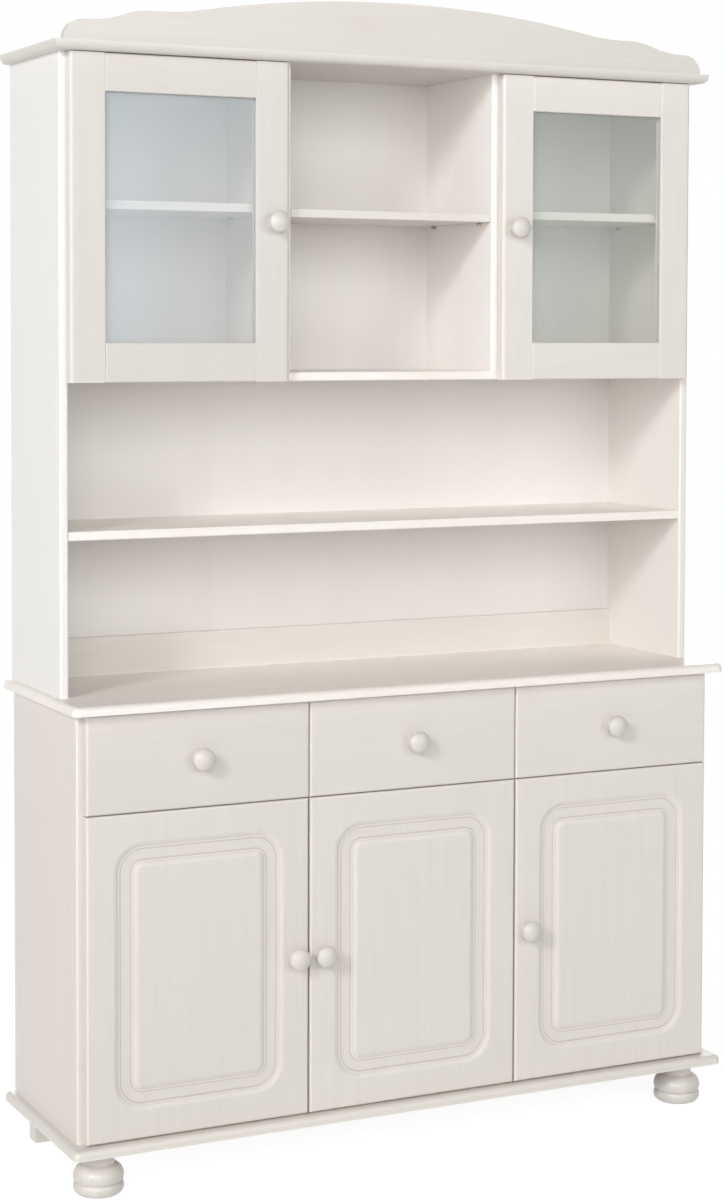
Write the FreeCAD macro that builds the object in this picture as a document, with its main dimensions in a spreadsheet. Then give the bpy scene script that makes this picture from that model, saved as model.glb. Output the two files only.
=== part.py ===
"""Buffet and hutch in painted pine: a cupboard with drawers below, and an open and glazed rack above.

The origin is on the floor, midway between the ends and between the knob tips and the back.
The front faces -Y. Depths are counted back from the front plane, the face of the buffet's fronts.
"""
import FreeCAD, Part
import math
import os
import Sketcher

SIZES = {
    # base board and feet
    "foot_height": 71.0,
    "foot_diameter": 82.0,
    "foot_end_inset": 58.0,
    "foot_front_inset": 54.0,
    "block_width": 45.0,
    "block_depth": 32.0,
    "block_end_inset": 42.0,
    "base_end_overhang": 16.5,
    "base_thickness": 15.0,
    "base_front_overhang": 19.0,
    "base_edge_round": 8.0,
    "base_corner_extra": 1.0,
    # buffet case
    "case_width": 1184.0,
    "case_height": 690.0,
    "case_depth": 334.0,
    "side_thickness": 15.0,
    "side_edge_round": 3.5,
    "partition_thickness": 15.0,
    "deck_thickness": 15.0,
    "back_thickness": 3.0,
    "back_setback": 1.0,
    "worktop_end_overhang": 16.5,
    "worktop_thickness": 15.0,
    "worktop_front_overhang": 18.5,
    "worktop_edge_round": 9.0,
    "worktop_corner_extra": 2.0,
    "buffet_shelf_height": 255.0,
    "buffet_shelf_setback": 40.0,
    # drawer fronts and doors of the buffet
    "front_reveal": 10.0,
    "front_thickness": 18.0,
    "front_clearance": 1.5,
    "front_gap": 3.0,
    "drawer_gap": 1.6,
    "front_edge_round": 4.0,
    "drawer_front_height": 158.6,
    "door_foot_gap": 2.0,
    "mould_margin": 45.0,
    "mould_width": 42.0,
    "mould_depth": 4.7,
    "mould_ledge_depth": 2.9,
    "mould_ramp": 8.2,
    "mould_ledge": 2.7,
    "mould_wall": 0.6,
    "mould_corner_radius": 50.0,
    # drawer boxes and their runners
    "drawer_side_thickness": 12.0,
    "drawer_back_thickness": 12.0,
    "drawer_bottom_thickness": 3.0,
    "drawer_head_gap": 35.0,
    "drawer_back_gap": 27.0,
    "drawer_box_lift": 10.0,
    "drawer_side_gap": 1.5,
    "drawer_groove_depth": 6.0,
    "drawer_bottom_lift": 8.0,
    "drawer_bottom_play": 0.2,
    "runner_height": 10.0,
    "runner_setback": 8.0,
    "runner_back_gap": 32.5,
    "runner_end_play": 0.5,
    "runner_play": 0.3,
    # knobs
    "knob_diameter": 36.0,
    "knob_projection": 28.0,
    "door_knob_inset": 22.5,
    # hutch case
    "hutch_end_step": 3.0,
    "hutch_depth": 244.0,
    "hutch_height": 1032.0,
    "hutch_side_thickness": 15.0,
    "hutch_partition_thickness": 15.0,
    "hutch_edge_round": 4.0,
    "middle_bay_width": 380.0,
    "cupboard_floor_height": 506.0,
    "cupboard_floor_thickness": 15.0,
    "floor_edge_round": 2.0,
    "long_shelf_height": 252.0,
    "long_shelf_setback": 2.0,
    "middle_shelf_height": 257.0,
    "glazed_shelf_rise": 15.6,
    "hutch_shelf_setback": 3.5,
    "shelf_thickness": 15.0,
    "shelf_edge_round": 2.0,
    "shelf_end_play": 1.0,
    "back_rail_height": 65.0,
    "back_rail_thickness": 15.0,
    "back_rail_edge_round": 2.0,
    "cornice_end_overhang": 17.0,
    "cornice_thickness": 16.0,
    "cornice_front_overhang": 16.5,
    "cornice_edge_round": 12.0,
    "pediment_end_inset": 15.0,
    "pediment_height": 90.0,
    "pediment_thickness": 15.0,
    "pediment_setback": 6.0,
    "pediment_edge_round": 1.5,
    # glazed doors
    "glazed_door_thickness": 18.0,
    "glazed_door_reveal": 11.5,
    "glazed_door_head_gap": 1.2,
    "glazed_edge_round": 6.0,
    "glazed_joint_ease": 1.2,
    "stile_width": 60.0,
    "top_rail_width": 61.0,
    "bottom_rail_width": 64.0,
    "glass_thickness": 4.0,
    "glass_groove_depth": 8.0,
    "glass_play": 0.3,
    "glazed_knob_inset": 26.0,
    # shelf pins
    "pin_diameter": 5.0,
    "pin_length": 14.0,
    "pin_hole_depth": 6.0,
    "pin_inset": 35.0,
    "pin_play": 0.05,
    # concealed hinges, counted inwards from the door's hinged edge and from its back face
    "hinge_end_distance": 80.0,
    "cup_diameter": 35.0,
    "cup_depth": 12.5,
    "cup_edge_distance": 5.0,
    "cup_wall": 1.0,
    "cup_play": 0.1,
    "flange_width": 20.0,
    "flange_height": 52.0,
    "flange_thickness": 1.0,
    "cup_pin_wall_gap": 8.0,
    "cup_pin_depth": 5.0,
    "arm_pin_wall_gap": 6.0,
    "arm_pin_depth": 2.0,
    "hinge_pin_diameter": 3.0,
    "hinge_pin_play": 0.1,
    "link_height": 8.0,
    "link_thickness": 2.8,
    "link_neck_shift": 2.0,
    "link_floor_gap": 0.6,
    "knuckle_diameter": 5.2,
    "arm_height": 14.0,
    "arm_thickness": 10.0,
    "arm_length": 46.0,
    "arm_bend": 20.0,
    "arm_nose": 6.0,
    "arm_fork_play": 0.4,
    "plate_thickness": 3.0,
    "plate_length": 32.0,
    "plate_height": 36.0,
    # every cut runs this far past the face that it breaks through
    "overrun": 1.0,
}

# Turned profiles as shares of radius and height: (r, z) is a straight step, (r, z, r, z) an arc through
# a point, and (None, None, r, z) an arc centred on the turning axis.
FOOT_PROFILE_SHARES = [
    (0.80, 0.0), (0.96, 0.08, 0.96, 0.26), (0.905, 0.285), (0.965, 0.31), (1.0, 0.41, 0.68, 0.675),
    (0.62, 0.69), (0.60, 1.0),
]
KNOB_PROFILE_SHARES = [
    (0.74, 0.0), (0.74, 0.06), (0.50, 0.20, 0.54, 0.36), (0.86, 0.45), (1.0, 0.63, 0.82, 0.85),
    (None, None, 0.0, 1.0),
]
# Half outline of the crest board, as shares of half its width and of its height, from the end to the arch.
PEDIMENT_END_SHARES = [
    (0.984, 0.259, 0.942, 0.366), (0.918, 0.366), (0.878, 0.400, 0.840, 0.460), (0.797, 0.545, 0.750, 0.572),
    (0.711, 0.572), (0.668, 0.586, 0.623, 0.625),
]
CUP_PIN_SHARE = 0.77
# Where the moulding's rounded ramp passes, as shares of its width and depth, and a quarter circle's bow.
RAMP_SHARES = (0.52, 0.355)
QUARTER_BOW_SHARE = 1 - 0.5 ** 0.5

doc = FreeCAD.newDocument("buffet_and_hutch")
parts = []


class Size:
    """A length: its number, and the text that works it out from the sheet."""

    def __init__(self, value, text):
        self.value = value
        self.text = text

    def __add__(self, other):
        return Size(self.value + number(other), f"({self.text} + {words(other)})")

    def __radd__(self, other):
        return self + other

    def __sub__(self, other):
        return Size(self.value - number(other), f"({self.text} - {words(other)})")

    def __rsub__(self, other):
        return Size(number(other) - self.value, f"({words(other)} - {self.text})")

    def __mul__(self, share):
        return Size(self.value * share, f"({self.text} * {share})")

    def __rmul__(self, share):
        return self * share

    def __truediv__(self, share):
        return Size(self.value / share, f"({self.text} / {share})")

    def __neg__(self):
        return self * -1


def number(length):
    return length.value if isinstance(length, Size) else length


def words(length):
    return length.text if isinstance(length, Size) else str(length)


def fill_sheet():
    """Writes the driving sizes into the sheet and gives them back by name."""
    sheet = doc.addObject("Spreadsheet::Sheet", "Sizes")
    named = {}
    for row, (name, value) in enumerate(SIZES.items(), start=1):
        sheet.set(f"A{row}", name)
        sheet.set(f"B{row}", str(value))
        sheet.setAlias(f"B{row}", name)
        named[name] = Size(value, f"Sizes.{name}")
    doc.recompute()
    return named


class Named:
    """Sizes as attributes."""

    def __init__(self, sizes):
        self.__dict__.update(sizes)


s = Named(fill_sheet())


def bind(thing, prop, length):
    thing.setExpression(prop, words(length))


def move(thing, x, y, z):
    for axis, length in zip("xyz", (x, y, z)):
        bind(thing, f"Placement.Base.{axis}", length)


def new_body(label, x, y, z):
    body = doc.addObject("PartDesign::Body", label)
    move(body, x, y, z)
    return body


def sketch_on(body, role):
    sketch = body.newObject("Sketcher::SketchObject", f"{body.Name}_sketch")
    plane = [item for item in body.Origin.OriginFeatures if item.Role == role][0]
    sketch.AttachmentSupport = [(plane, "")]
    sketch.MapMode = "FlatFace"
    return sketch


def pin_point(sketch, curve, end, x, y):
    """Ties a curve's end to a place counted from the sketch's origin."""
    for kind, length in (("DistanceX", x), ("DistanceY", y)):
        index = sketch.addConstraint(Sketcher.Constraint(kind, -1, 1, curve, end, number(length)))
        name = f"place{index}"
        sketch.renameConstraint(index, name)
        bind(sketch, f"Constraints.{name}", length)


def spot(x, y):
    return FreeCAD.Vector(number(x), number(y), 0)


def dome_middle(rim, top):
    """A place halfway along the arc that rises from rim to top, which lies on the upright axis."""
    rise = top.y - rim.y
    radius = (rim.x ** 2 + rise ** 2) / (2 * rise)
    turn = math.atan2(rim.x, radius - rise) if rise > 0 else math.atan2(rim.x, rise - radius)
    return FreeCAD.Vector(abs(radius) * math.sin(turn / 2), top.y - radius + radius * math.cos(turn / 2), 0)


def draw_outline(sketch, start, steps):
    """Draws a closed outline: (x, y) goes straight there, (x, y, x, y) by an arc through the first place,
    and (None, None, x, y) by an arc centred on the upright axis."""
    here = start
    first = last = None
    for place, step in enumerate(steps):
        goal = step[-2:]
        domed = step[0] is None
        arched = len(step) == 4 and not domed
        if domed:
            shape = Part.Arc(spot(*here), dome_middle(spot(*here), spot(*goal)), spot(*goal))
        elif arched:
            shape = Part.Arc(spot(*here), spot(*step[:2]), spot(*goal))
        else:
            shape = Part.LineSegment(spot(*here), spot(*goal))
        curve = sketch.addGeometry(shape, False)
        near, far = sorted((1, 2), key=lambda end: sketch.getPoint(curve, end).distanceToPoint(spot(*here)))
        if first is None:
            first = (curve, near)
            pin_point(sketch, curve, near, *here)
        else:
            sketch.addConstraint(Sketcher.Constraint("Coincident", *last, curve, near))
        if place == len(steps) - 1:
            sketch.addConstraint(Sketcher.Constraint("Coincident", curve, far, *first))
        else:
            pin_point(sketch, curve, far, *goal)
        if domed:
            sketch.addConstraint(Sketcher.Constraint("PointOnObject", curve, 3, -2))
        if arched:
            dot = sketch.addGeometry(Part.Point(spot(*step[:2])), True)
            pin_point(sketch, dot, 1, *step[:2])
            sketch.addConstraint(Sketcher.Constraint("PointOnObject", dot, 1, curve))
        last = (curve, far)
        here = goal


def rectangle(sketch, width, height):
    draw_outline(sketch, (0, 0), [(width, 0), (width, height), (0, height), (0, 0)])


def pad(body, sketch, length, backwards=False):
    feature = body.newObject("PartDesign::Pad", f"{body.Name}_pad")
    feature.Profile = sketch
    bind(feature, "Length", length)
    feature.Reversed = backwards
    return feature


def edges_at(feature, *corners):
    """Names the edges that lie on two outer sides, such as 'front top'."""
    box = feature.Shape.BoundBox
    sides = {
        "left": ("x", box.XMin), "right": ("x", box.XMax), "front": ("y", box.YMin), "back": ("y", box.YMax),
        "bottom": ("z", box.ZMin), "top": ("z", box.ZMax),
    }
    names = []
    for index, edge in enumerate(feature.Shape.Edges, start=1):
        for corner in corners:
            tests = [sides[side] for side in corner.split()]
            if all(abs(getattr(vertex.Point, axis) - level) < box.DiagonalLength / 1e6
                   for axis, level in tests for vertex in edge.Vertexes):
                names.append(f"Edge{index}")
    return names


def dress_edges(body, kind, prop, size, *corners):
    doc.recompute()
    base = body.Tip
    feature = body.newObject(f"PartDesign::{kind}", f"{body.Name}_{kind.lower()}")
    feature.Base = (base, edges_at(base, *corners))
    bind(feature, prop, size)


def round_edges(body, radius, *corners):
    dress_edges(body, "Fillet", "Radius", radius, *corners)


def ease_edges(body, width, *corners):
    dress_edges(body, "Chamfer", "Size", width, *corners)


def box_feature(body, kind, x, y, z, length, width, height):
    feature = body.newObject(f"PartDesign::{kind}Box", f"{body.Name}_{kind.lower()}_box")
    bind(feature, "Length", length)
    bind(feature, "Width", width)
    bind(feature, "Height", height)
    move(feature, x, y, z)
    return feature


AXIS_TURNS = {
    "x": FreeCAD.Rotation(FreeCAD.Vector(0, 1, 0), 90),
    "y": FreeCAD.Rotation(FreeCAD.Vector(1, 0, 0), -90),
    "z": FreeCAD.Rotation(),
}


def round_feature(body, kind, axis, x, y, z, radius, length):
    """A cylinder that starts at the given place and runs along +axis."""
    feature = body.newObject(f"PartDesign::{kind}Cylinder", f"{body.Name}_{kind.lower()}_round")
    feature.Placement = FreeCAD.Placement(FreeCAD.Vector(), AXIS_TURNS[axis])
    bind(feature, "Radius", radius)
    bind(feature, "Height", length)
    move(feature, x, y, z)
    return feature


def board(label, x, y, z, length, depth, height, rounds=()):
    """A plain board, its plan drawn and padded upwards, with (radius, edges) rounds."""
    body = new_body(label, x, y, z)
    sketch = sketch_on(body, "XY_Plane")
    rectangle(sketch, length, depth)
    pad(body, sketch, height)
    for radius, *corners in rounds:
        round_edges(body, radius, *corners)
    return body


def keep(thing):
    parts.append(thing)
    return thing


def group(label, members):
    """Like pieces that share a node."""
    thing = doc.addObject("Part::Compound", label)
    thing.Links = members
    return keep(thing)


def turned(label, x, y, z, role, profile, radius, rise):
    """A turned piece on the sketch's upright axis, from shares of its radius and rise."""
    body = new_body(label, x, y, z)
    sketch = sketch_on(body, role)
    steps = []
    for shares in profile:
        steps.append(tuple(
            None if share is None else share * size for share, size in zip(shares, (radius, rise) * 2)))
    if profile[-1][-2]:
        steps.append((0, rise))
    steps.append((0, 0))
    draw_outline(sketch, (0, 0), steps)
    feature = body.newObject("PartDesign::Revolution", f"{label}_turning")
    feature.Profile = sketch
    feature.ReferenceAxis = (sketch, ["V_Axis"])
    feature.Angle = 360
    return body


# Places that several pieces share
front_plane = (s.knob_projection - s.case_depth) / 2
back_plane = front_plane + s.case_depth
panel_front = back_plane - s.back_setback - s.back_thickness
case_front = front_plane + s.front_thickness + s.front_clearance
case_inside = panel_front - case_front
base_top = s.foot_height + s.base_thickness
worktop_bottom = base_top + s.case_height
worktop_top = worktop_bottom + s.worktop_thickness
side_inner = s.case_width / 2 - s.side_thickness

base_width = s.case_width + s.base_end_overhang * 2
worktop_width = s.case_width + s.worktop_end_overhang * 2
fronts_width = s.case_width - s.front_reveal * 2
front_pitch = (fronts_width + s.front_gap) / 3
front_width = front_pitch - s.front_gap
drawer_pitch = (fronts_width + s.drawer_gap) / 3
drawer_width = drawer_pitch - s.drawer_gap
drawer_front_bottom = worktop_bottom - s.front_gap - s.drawer_front_height
door_bottom = base_top + s.door_foot_gap
door_height = drawer_front_bottom - s.drawer_gap - door_bottom
deck_bottom = drawer_front_bottom - s.drawer_gap / 2 - s.deck_thickness / 2
deck_top = deck_bottom + s.deck_thickness
buffet_shelf_bottom = base_top + s.buffet_shelf_height

hutch_width = s.case_width + s.hutch_end_step * 2
cornice_width = hutch_width + s.cornice_end_overhang * 2
hutch_front = panel_front - s.hutch_depth
hutch_inner = hutch_width / 2 - s.hutch_side_thickness
cornice_bottom = worktop_top + s.hutch_height
cornice_top = cornice_bottom + s.cornice_thickness
floor_bottom = worktop_top + s.cupboard_floor_height
floor_top = floor_bottom + s.cupboard_floor_thickness
bay_half = s.middle_bay_width / 2
bay_outer = bay_half + s.hutch_partition_thickness
glazed_plane = hutch_front - s.front_clearance - s.glazed_door_thickness
glazed_height = cornice_bottom - s.glazed_door_head_gap - floor_bottom
glazed_inner_edge = bay_half + s.glazed_door_reveal
glazed_outer_edge = hutch_width / 2 - s.glazed_door_reveal
glazed_width = glazed_outer_edge - glazed_inner_edge
box_bottom = deck_top + s.drawer_box_lift
box_height = worktop_bottom - s.drawer_head_gap - box_bottom
box_front = front_plane + s.front_thickness
box_length = panel_front - s.drawer_back_gap - box_front
runner_rise = box_height / 2 - s.runner_height / 2
runner_bottom = box_bottom + runner_rise
runner_width = s.drawer_side_gap + s.drawer_groove_depth - s.runner_end_play
runner_front = case_front + s.runner_setback
runner_length = panel_front - s.runner_back_gap - runner_front

cup_pin_inset = s.cup_edge_distance + s.cup_pin_wall_gap
arm_pin_inset = s.cup_edge_distance + s.cup_diameter - s.arm_pin_wall_gap

hutch_shelf_front = hutch_front + s.hutch_shelf_setback
hutch_shelf_depth = panel_front - hutch_shelf_front


def make_base():
    """Base board, bun feet and rear blocks."""
    base_front = front_plane - s.base_front_overhang
    keep(board(
        "base_board", -base_width / 2, base_front, s.foot_height, base_width, back_plane - base_front,
        s.base_thickness,
        [(s.base_edge_round + s.base_corner_extra, "left front", "right front"),
         (s.base_edge_round, "front top", "left top", "right top")]))
    feet = []
    blocks = []
    for name, side in (("left", -1), ("right", 1)):
        foot_x = side * (base_width / 2 - s.foot_end_inset)
        feet.append(turned(
            f"front_foot_{name}", foot_x, base_front + s.foot_front_inset, 0, "XZ_Plane", FOOT_PROFILE_SHARES,
            s.foot_diameter / 2, s.foot_height))
        block_outer = base_width / 2 - s.block_end_inset
        block_x = block_outer - s.block_width if side > 0 else -block_outer
        blocks.append(board(
            f"rear_block_{name}", block_x, back_plane - s.block_depth, 0, s.block_width, s.block_depth,
            s.foot_height))
    group("front_feet", feet)
    group("rear_feet", blocks)


def drill_pins(body, face, points, into):
    """Shelf pin holes in a board's face, in its own frame; into is the way they run along X."""
    depth = s.pin_hole_depth + s.overrun
    start = face - s.overrun if into > 0 else face - s.pin_hole_depth
    for y, z in points:
        round_feature(body, "Subtractive", "x", start, y, z, s.pin_diameter / 2 + s.pin_play, depth)


def pin_points(front, depth, shelf_bottom, origin_y, origin_z):
    """The two pins under one end of a shelf, in the frame of a board that starts at the given origin."""
    z = shelf_bottom - s.pin_diameter / 2 - s.pin_play - origin_z
    return [(front + s.pin_inset - origin_y, z), (front + depth - s.pin_inset - origin_y, z)]


def shelf_pins(label, face, points, out):
    """Pins that stand out of a face; out is the way they stand along X, places are in the part's frame."""
    pins = []
    for index, (y, z) in enumerate(points, start=1):
        pin = doc.addObject("Part::Cylinder", f"{label}_{index}")
        pin.Placement = FreeCAD.Placement(FreeCAD.Vector(), AXIS_TURNS["x"])
        bind(pin, "Radius", s.pin_diameter / 2)
        bind(pin, "Height", s.pin_length)
        start = face - s.pin_hole_depth if out > 0 else face + s.pin_hole_depth - s.pin_length
        move(pin, start, y, z)
        pins.append(pin)
    return pins


def make_buffet_case():
    """Sides, partition, deck, dividers, back, worktop and shelves. Gives back the shelf pins."""
    height = s.case_height
    edge = (s.side_edge_round, "left front", "right front")
    shelf_front = case_front + s.buffet_shelf_setback
    shelf_depth = panel_front - shelf_front
    case_points = pin_points(shelf_front, shelf_depth, buffet_shelf_bottom, case_front, base_top)
    part_points = pin_points(shelf_front, shelf_depth, buffet_shelf_bottom, 0, 0)
    left = board(
        "buffet_side_left", -s.case_width / 2, case_front, base_top, s.side_thickness, case_inside, height,
        [edge])
    drill_pins(left, s.side_thickness, case_points, -1)
    right = board(
        "buffet_side_right", side_inner, case_front, base_top, s.side_thickness, case_inside, height, [edge])
    drill_pins(right, 0, case_points, 1)
    partition_x = front_pitch / 2 - s.partition_thickness / 2
    partition = board(
        "buffet_partition", partition_x, case_front, base_top, s.partition_thickness, case_inside,
        deck_bottom - base_top)
    drill_pins(partition, 0, case_points, 1)
    drill_pins(partition, s.partition_thickness, case_points, -1)
    for item in (left, right, partition):
        keep(item)
    keep(board(
        "drawer_deck", -side_inner, case_front, deck_bottom, side_inner * 2, case_inside, s.deck_thickness))
    dividers = []
    for name, side in (("left", -1), ("right", 1)):
        divider_x = side * drawer_pitch / 2 - s.partition_thickness / 2
        dividers.append(board(
            f"drawer_divider_{name}", divider_x, case_front, deck_top, s.partition_thickness, case_inside,
            worktop_bottom - deck_top))
    group("drawer_dividers", dividers)
    keep(board(
        "buffet_back", -s.case_width / 2, panel_front, base_top, s.case_width, s.back_thickness, height))
    top_front = front_plane - s.worktop_front_overhang
    keep(board(
        "worktop", -worktop_width / 2, top_front, worktop_bottom, worktop_width, back_plane - top_front,
        s.worktop_thickness,
        [(s.worktop_edge_round + s.worktop_corner_extra, "left front", "right front"),
         (s.worktop_edge_round, "front top", "left top", "right top")]))
    bays = [("wide", -side_inner, partition_x), ("narrow", partition_x + s.partition_thickness, side_inner)]
    shelves = []
    pins = []
    for name, low, high in bays:
        shelves.append(board(
            f"buffet_shelf_{name}", low + s.shelf_end_play, shelf_front, buffet_shelf_bottom,
            high - low - s.shelf_end_play * 2, shelf_depth, s.shelf_thickness,
            [(s.shelf_edge_round, "front top", "front bottom")]))
        pins += shelf_pins(f"{name}_shelf_pin_left", low, part_points, 1)
        pins += shelf_pins(f"{name}_shelf_pin_right", high, part_points, -1)
    group("buffet_shelves", shelves)
    return pins


def make_knob(label, x, y, z):
    keep(turned(label, x, y, z, "XY_Plane", KNOB_PROFILE_SHARES, s.knob_diameter / 2, -s.knob_projection))


def drawer_bays():
    """Name, front's centre, and the faces of the bay that a drawer runs in."""
    half = drawer_pitch / 2
    wall = s.partition_thickness / 2
    return [
        ("left", -drawer_pitch, -side_inner, -half - wall),
        ("middle", 0, wall - half, half - wall),
        ("right", drawer_pitch, half + wall, side_inner),
    ]


def make_drawer(name, centre, low, high):
    """One drawer: front, two grooved sides with the back between them, bottom panel and knob."""
    label = f"drawer_{name}"
    box_low = low + s.drawer_side_gap
    box_width = high - low - s.drawer_side_gap * 2
    inner_width = box_width - s.drawer_side_thickness * 2
    groove_low = s.drawer_bottom_lift - s.drawer_bottom_play
    groove_height = s.drawer_bottom_thickness + s.drawer_bottom_play * 2
    panel_lap = s.drawer_groove_depth - s.drawer_bottom_play
    front_low = centre - drawer_width / 2
    front = board(
        f"{label}_front", front_low, front_plane, drawer_front_bottom, drawer_width, s.front_thickness,
        s.drawer_front_height,
        [(s.front_edge_round, "front top", "front bottom", "front left", "front right")])
    box_feature(
        front, "Subtractive", box_low + s.drawer_side_thickness - s.drawer_groove_depth - front_low,
        s.front_thickness - s.drawer_groove_depth, box_bottom + groove_low - drawer_front_bottom,
        inner_width + s.drawer_groove_depth * 2, s.drawer_groove_depth + s.overrun, groove_height)
    keep(front)
    boards = []
    for side, x in (("left", box_low), ("right", box_low + box_width - s.drawer_side_thickness)):
        wall = board(
            f"{label}_side_{side}", x, box_front, box_bottom, s.drawer_side_thickness, box_length,
            box_height)
        outer = -s.overrun if side == "left" else s.drawer_side_thickness - s.drawer_groove_depth
        inner = s.drawer_side_thickness - s.drawer_groove_depth if side == "left" else -s.overrun
        slot_start = runner_front - s.runner_play - box_front
        box_feature(
            wall, "Subtractive", outer, slot_start, runner_rise - s.runner_play,
            s.drawer_groove_depth + s.overrun, box_length - slot_start + s.overrun,
            s.runner_height + s.runner_play * 2)
        box_feature(
            wall, "Subtractive", inner, -s.overrun, groove_low, s.drawer_groove_depth + s.overrun,
            box_length + s.overrun * 2, groove_height)
        boards.append(wall)
    back_foot = groove_low + groove_height
    boards.append(board(
        f"{label}_back", box_low + s.drawer_side_thickness,
        box_front + box_length - s.drawer_back_thickness, box_bottom + back_foot, inner_width,
        s.drawer_back_thickness, box_height - back_foot))
    group(f"{label}_box", boards)
    keep(board(
        f"{label}_bottom", box_low + s.drawer_side_thickness - panel_lap, box_front - panel_lap,
        box_bottom + s.drawer_bottom_lift, inner_width + panel_lap * 2, box_length + panel_lap,
        s.drawer_bottom_thickness))
    make_knob(f"{label}_knob", centre, front_plane, drawer_front_bottom + s.drawer_front_height / 2)


def make_drawers():
    runners = []
    for name, centre, low, high in drawer_bays():
        make_drawer(name, centre, low, high)
        for side, x in (("left", low), ("right", high - runner_width)):
            runners.append(board(
                f"runner_{name}_{side}", x, runner_front, runner_bottom, runner_width, runner_length,
                s.runner_height))
    group("drawer_runners", runners)


def along(edge, hand, near, far):
    """Lower end and length of a span that runs inwards from a door's hinged edge."""
    return (edge + near if hand > 0 else edge - far), far - near


def bore_cups(body, hand, edge, thickness, levels):
    """Blind bores for the hinge cups in the back of a door, in the door's own frame."""
    for level in levels:
        round_feature(
            body, "Subtractive", "y", edge + hand * (s.cup_edge_distance + s.cup_diameter / 2),
            thickness - s.cup_depth, level, s.cup_diameter / 2 + s.cup_play, s.cup_depth + s.overrun)


def make_cup(label, hand, x, y, z, thickness):
    """Hinge cup: a bowl with a flange on the door's back and a pin across it."""
    body = new_body(label, x, y, z)
    centre = hand * (s.cup_edge_distance + s.cup_diameter / 2)
    floor = thickness - s.cup_depth
    round_feature(body, "Additive", "y", centre, floor, 0, s.cup_diameter / 2, s.cup_depth)
    box_feature(
        body, "Additive", centre - s.flange_width / 2, thickness, -s.flange_height / 2, s.flange_width,
        s.flange_thickness, s.flange_height)
    round_feature(
        body, "Subtractive", "y", centre, floor + s.cup_wall, 0, s.cup_diameter / 2 - s.cup_wall,
        s.cup_depth + s.flange_thickness)
    half = s.cup_diameter / 2 * CUP_PIN_SHARE
    round_feature(
        body, "Additive", "z", hand * cup_pin_inset, thickness - s.cup_pin_depth, -half,
        s.hinge_pin_diameter / 2, half * 2)
    return body


def make_link(label, hand, x, y, z, thickness):
    """Swan-necked link between the cup's pin and the arm's pin."""
    body = new_body(label, x, y, z - s.link_height / 2)
    half = s.link_thickness / 2
    cup_u, cup_v = cup_pin_inset, thickness - s.cup_pin_depth
    arm_u, arm_v = arm_pin_inset, thickness - s.arm_pin_depth
    neck_u = cup_u + s.link_neck_shift
    neck_v = thickness - s.cup_depth + s.cup_wall + s.link_floor_gap + half
    outline = [
        (neck_u - half, neck_v - half), (arm_u, arm_v - half), (arm_u, arm_v + half),
        (neck_u + half, neck_v + s.link_thickness), (cup_u + half, cup_v), (cup_u - half, cup_v),
    ]
    sketch = sketch_on(body, "XY_Plane")
    draw_outline(sketch, (hand * (cup_u - half), cup_v), [(hand * u, v) for u, v in outline])
    pad(body, sketch, s.link_height)
    for u, v in ((cup_u, cup_v), (arm_u, arm_v)):
        round_feature(body, "Additive", "z", hand * u, v, 0, s.knuckle_diameter / 2, s.link_height)
    for u, v in ((cup_u, cup_v), (arm_u, arm_v)):
        round_feature(
            body, "Subtractive", "z", hand * u, v, -s.overrun, s.hinge_pin_diameter / 2 + s.hinge_pin_play,
            s.link_height + s.overrun * 2)
    return body


def make_arm(label, hand, x, y, z, thickness, overlay):
    """Cranked arm on its plate, forked round the link; overlay is how far in the panel's face lies."""
    body = new_body(label, x, y, z - s.arm_height / 2)
    nose = s.knuckle_diameter / 2
    pin_u, pin_v = arm_pin_inset, thickness - s.arm_pin_depth
    root = overlay + s.plate_thickness
    outline = [
        (root, thickness + s.arm_bend), (pin_u - nose, thickness + s.arm_nose), (pin_u - nose, pin_v),
        (pin_u + nose, pin_v), (pin_u + nose, thickness + s.arm_nose * 2),
        (root + s.arm_thickness, thickness + s.arm_bend + s.arm_thickness),
        (root + s.arm_thickness, thickness + s.arm_length), (root, thickness + s.arm_length),
    ]
    sketch = sketch_on(body, "XY_Plane")
    draw_outline(sketch, (hand * root, thickness + s.arm_length), [(hand * u, v) for u, v in outline])
    pad(body, sketch, s.arm_height)
    round_feature(body, "Additive", "z", hand * pin_u, pin_v, 0, nose, s.arm_height)
    low, length = along(0, hand, pin_u - nose - s.overrun, pin_u + nose + s.overrun)
    slot = s.link_height + s.arm_fork_play * 2
    box_feature(
        body, "Subtractive", low, pin_v - nose - s.overrun, s.arm_height / 2 - slot / 2, length,
        nose * 2 + s.overrun + s.arm_fork_play, slot)
    round_feature(body, "Additive", "z", hand * pin_u, pin_v, 0, s.hinge_pin_diameter / 2, s.arm_height)
    low, length = along(0, hand, overlay, root)
    plate_low = s.arm_height / 2 - s.plate_height / 2
    box_feature(
        body, "Additive", low, thickness + s.arm_length - s.plate_length, plate_low, length, s.plate_length,
        s.plate_height)
    return body


def make_hinges(label, hand, edge, plane, low, height, thickness, overlay):
    """Two hinges of a door: cups and links get nodes of their own, the arms are given back."""
    cups = []
    links = []
    arms = []
    top = low + height
    for name, level in (("lower", low + s.hinge_end_distance), ("upper", top - s.hinge_end_distance)):
        cups.append(make_cup(f"{label}_{name}_cup", hand, edge, plane, level, thickness))
        links.append(make_link(f"{label}_{name}_link", hand, edge, plane, level, thickness))
        arms.append(make_arm(f"{label}_{name}_arm", hand, edge, plane, level, thickness, overlay))
    group(f"{label}_hinge_cups", cups)
    group(f"{label}_hinge_links", links)
    return arms


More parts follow.
